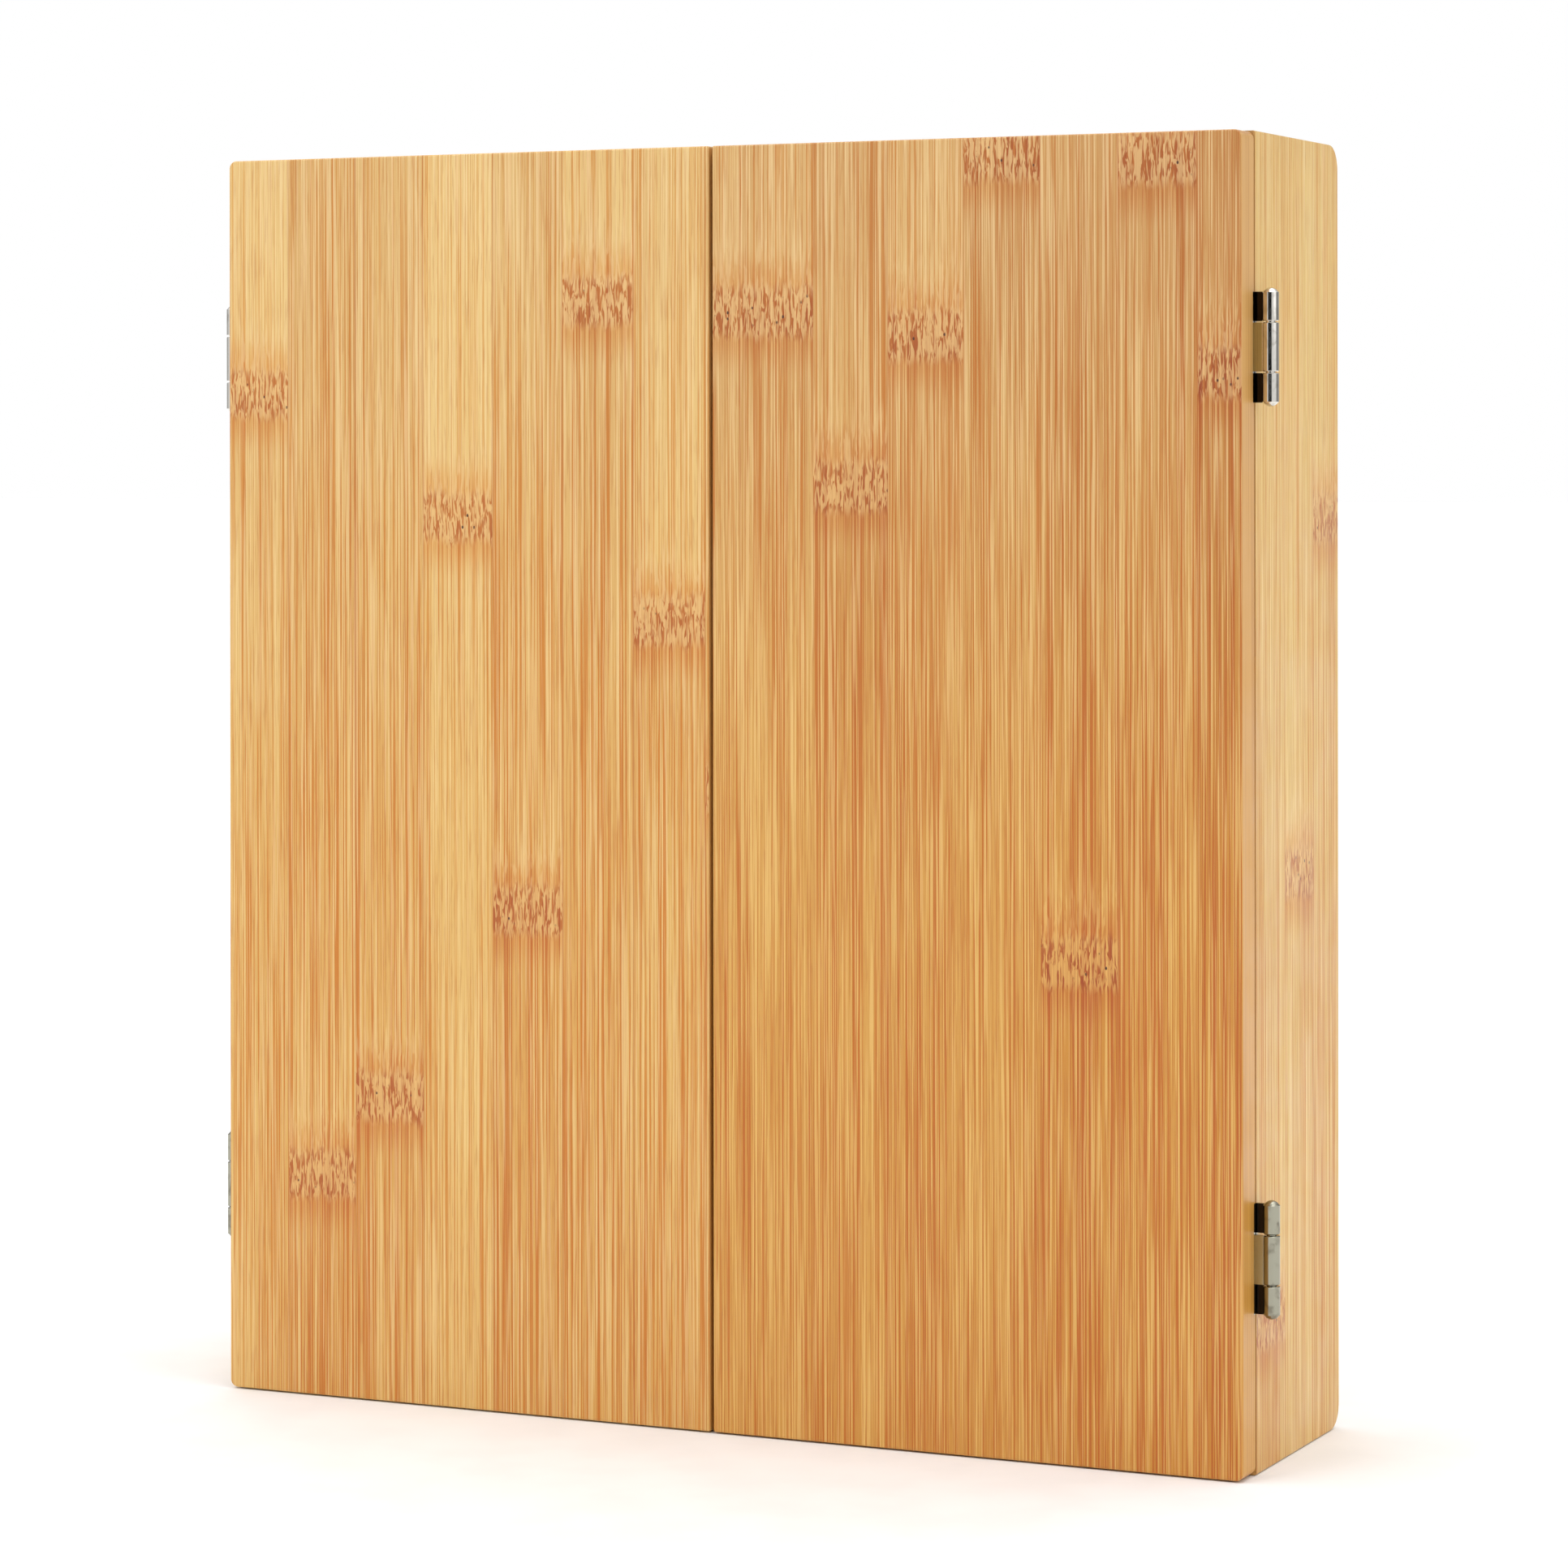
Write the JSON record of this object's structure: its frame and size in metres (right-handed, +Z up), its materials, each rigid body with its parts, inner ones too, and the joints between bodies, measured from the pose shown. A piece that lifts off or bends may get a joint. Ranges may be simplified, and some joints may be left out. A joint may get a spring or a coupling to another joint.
{
  "type": "dart board cabinet",
  "caption": "Shallow upright bamboo wall box with plain flush double doors on side butt hinges, holding a bristle board, dart racks, darts and score boards.",
  "frame": {"origin": "middle of the outline, at the height of the box's underside", "axes": "+Z up, +Y from the doors towards the wall, +X to the viewer's right"},
  "size_m": [0.363, 0.091, 0.4],
  "materials": {
    "bamboo": "clear satin lacquer over flat-pressed bamboo strips",
    "plywood": "unfinished thin plywood",
    "beech": "unfinished",
    "fibreboard": "pressed, unfinished",
    "nickel": "polished nickel plate",
    "zinc": "bright zinc plate",
    "wire": "drawn wire",
    "black_steel": "satin black",
    "sisal": "end-on sisal fibre",
    "slate_paint": "matt chalkboard paint on hardboard",
    "rubber": "matt",
    "dart_metal": "turned, with a steel point",
    "dart_plastic": "moulded stem, thin film flight"
  },
  "bodies": {
    "box": {"left_side_panel": "bamboo", "right_side_panel": "bamboo", "top_panel": "bamboo", "bottom_panel": "bamboo", "back_panel": "plywood", "upper_mounting_rail": "bamboo", "lower_mounting_rail": "bamboo", "corner_dowels": "beech", "back_panel_screws": "zinc", "box_leaf_screws": "nickel", "bracket_screws": "zinc", "catch_magnets": "zinc", "board_bracket": "zinc", "upper_left_hinge_box_leaf": "nickel", "upper_left_hinge_pin": "nickel", "lower_left_hinge_box_leaf": "nickel", "lower_left_hinge_pin": "nickel", "upper_right_hinge_box_leaf": "nickel", "upper_right_hinge_pin": "nickel", "lower_right_hinge_box_leaf": "nickel", "lower_right_hinge_pin": "nickel"},
    "dartboard": {"bristle_disc": "sisal", "board_backing": "fibreboard", "board_band": "black_steel", "wire_spider": "wire", "number_ring": "wire", "number_ring_clips": "wire", "board_hanger_screw": "zinc", "board_bumpers": "rubber"},
    "left_door": {"left_door_panel": "bamboo", "left_door_leaf_screws": "nickel", "left_door_strikes": "zinc", "left_score_board": "slate_paint", "left_score_board_screws": "zinc", "left_dart_rack": "bamboo", "left_rack_dowels": "beech", "upper_left_hinge_door_leaf": "nickel", "lower_left_hinge_door_leaf": "nickel"},
    "right_door": {"right_door_panel": "bamboo", "right_door_leaf_screws": "nickel", "right_door_strikes": "zinc", "right_score_board": "slate_paint", "right_score_board_screws": "zinc", "right_dart_rack": "bamboo", "right_rack_dowels": "beech", "upper_right_hinge_door_leaf": "nickel", "lower_right_hinge_door_leaf": "nickel"},
    "dart_1": {"dart_1_barrel_and_point": "dart_metal", "dart_1_stem_and_flight": "dart_plastic"},
    "dart_2": {"dart_2_barrel_and_point": "dart_metal", "dart_2_stem_and_flight": "dart_plastic"},
    "dart_3": {"dart_3_barrel_and_point": "dart_metal", "dart_3_stem_and_flight": "dart_plastic"},
    "dart_4": {"dart_4_barrel_and_point": "dart_metal", "dart_4_stem_and_flight": "dart_plastic"},
    "dart_5": {"dart_5_barrel_and_point": "dart_metal", "dart_5_stem_and_flight": "dart_plastic"},
    "dart_6": {"dart_6_barrel_and_point": "dart_metal", "dart_6_stem_and_flight": "dart_plastic"}
  },
  "joints": [
    {"name": "left_door_hinge", "type": "hinge", "parent": "box", "child": "left_door", "pos_m": [-0.179, -0.034, 0.2], "axis": [0, 0, -1], "range_deg": [0, 180]},
    {"name": "right_door_hinge", "type": "hinge", "parent": "box", "child": "right_door", "pos_m": [0.179, -0.034, 0.2], "axis": [0, 0, 1], "range_deg": [0, 180]},
    {"name": "dartboard_lift", "type": "slide", "parent": "box", "child": "dartboard", "axis": [0, 0, 1], "range_m": [0, 0.014]},
    {"name": "dart_1_lift", "type": "slide", "parent": "left_door", "child": "dart_1", "axis": [0, 0, 1], "range_m": [0, 0.04]},
    {"name": "dart_2_lift", "type": "slide", "parent": "left_door", "child": "dart_2", "axis": [0, 0, 1], "range_m": [0, 0.04]},
    {"name": "dart_3_lift", "type": "slide", "parent": "left_door", "child": "dart_3", "axis": [0, 0, 1], "range_m": [0, 0.04]},
    {"name": "dart_4_lift", "type": "slide", "parent": "right_door", "child": "dart_4", "axis": [0, 0, 1], "range_m": [0, 0.04]},
    {"name": "dart_5_lift", "type": "slide", "parent": "right_door", "child": "dart_5", "axis": [0, 0, 1], "range_m": [0, 0.04]},
    {"name": "dart_6_lift", "type": "slide", "parent": "right_door", "child": "dart_6", "axis": [0, 0, 1], "range_m": [0, 0.04]}
  ]
}
